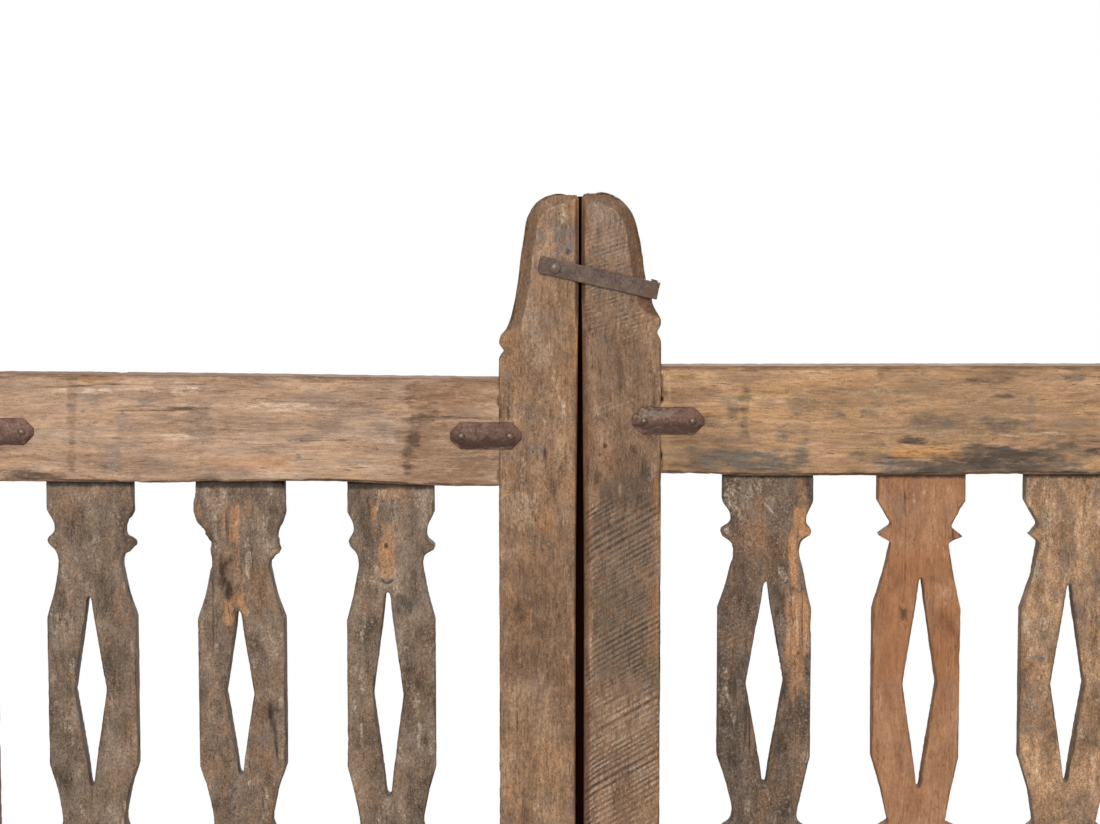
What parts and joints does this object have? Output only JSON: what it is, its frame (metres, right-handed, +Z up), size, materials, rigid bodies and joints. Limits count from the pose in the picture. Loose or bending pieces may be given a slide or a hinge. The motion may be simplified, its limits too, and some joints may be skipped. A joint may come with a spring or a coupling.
{
  "type": "two-leaf wooden gate",
  "caption": "Low two-leaf timber gate with shaped meeting stiles, slotted cut-out balusters, iron tie plates, pintle hinges and a drop latch that hooks over the meeting stile.",
  "frame": {"origin": "on the meeting line, in the middle of the gate's depth, level with the feet of the stiles", "axes": "+X along the gate to the right leaf, +Y from the front to the back, +Z up"},
  "size_m": [1.6306, 0.078, 0.9587],
  "materials": {
    "stile_wood": "dry weathered hardwood with saw marks and rounded, rubbed edges",
    "rail_wood": "rubbed weathered hardwood with long grain, checks and dark stains",
    "grey_wood": "grey weathered hardwood with bare orange patches",
    "red_wood": "reddish hardwood, less weathered",
    "forged_iron": "hand-forged iron with dark brown rust",
    "nail_iron": "forged nail heads, worn to bare metal on top"
  },
  "bodies": {
    "pintles": {"left_pintle_upper": "forged_iron", "left_pintle_lower": "forged_iron", "right_pintle_upper": "forged_iron", "right_pintle_lower": "forged_iron"},
    "left_leaf": {"left_meeting_stile": "stile_wood", "left_hanging_stile": "stile_wood", "left_top_rail": "rail_wood", "left_bottom_rail": "rail_wood", "left_baluster_inner": "grey_wood", "left_baluster_middle": "grey_wood", "left_baluster_outer": "grey_wood", "left_tie_top_inner": "forged_iron", "left_tie_top_outer": "forged_iron", "left_tie_bottom_inner": "forged_iron", "left_tie_bottom_outer": "forged_iron", "left_nail_top_inner_1": "nail_iron", "left_nail_top_inner_2": "nail_iron", "left_nail_top_outer_1": "nail_iron", "left_nail_top_outer_2": "nail_iron", "left_nail_bottom_inner_1": "nail_iron", "left_nail_bottom_inner_2": "nail_iron", "left_nail_bottom_outer_1": "nail_iron", "left_nail_bottom_outer_2": "nail_iron", "left_eye_upper": "forged_iron", "left_eye_lower": "forged_iron", "latch_pin": "nail_iron"},
    "right_leaf": {"right_meeting_stile": "stile_wood", "right_hanging_stile": "stile_wood", "right_top_rail": "rail_wood", "right_bottom_rail": "rail_wood", "right_baluster_inner": "grey_wood", "right_baluster_middle": "red_wood", "right_baluster_outer": "grey_wood", "right_tie_top_inner": "forged_iron", "right_tie_top_outer": "forged_iron", "right_tie_bottom_inner": "forged_iron", "right_tie_bottom_outer": "forged_iron", "right_nail_top_inner_1": "nail_iron", "right_nail_top_inner_2": "nail_iron", "right_nail_top_outer_1": "nail_iron", "right_nail_top_outer_2": "nail_iron", "right_nail_bottom_inner_1": "nail_iron", "right_nail_bottom_inner_2": "nail_iron", "right_nail_bottom_outer_1": "nail_iron", "right_nail_bottom_outer_2": "nail_iron", "right_closing_strip": "stile_wood", "right_strip_nail_1": "nail_iron", "right_strip_nail_2": "nail_iron", "right_strip_nail_3": "nail_iron", "right_eye_upper": "forged_iron", "right_eye_lower": "forged_iron"},
    "latch": {"latch_bar": "forged_iron"}
  },
  "joints": [
    {"name": "left_leaf_swing", "type": "hinge", "parent": "pintles", "child": "left_leaf", "pos_m": [-0.7673, 0, 0.4], "axis": [0, 0, -1], "range_deg": [0, 100]},
    {"name": "right_leaf_swing", "type": "hinge", "parent": "pintles", "child": "right_leaf", "pos_m": [0.7673, 0, 0.4], "axis": [0, 0, -1], "range_deg": [0, 100]},
    {"name": "latch_lift", "type": "hinge", "parent": "left_leaf", "child": "latch", "pos_m": [-0.0275, -0.0279, 0.87565], "axis": [0, -1, 0], "range_deg": [0, 242]}
  ]
}
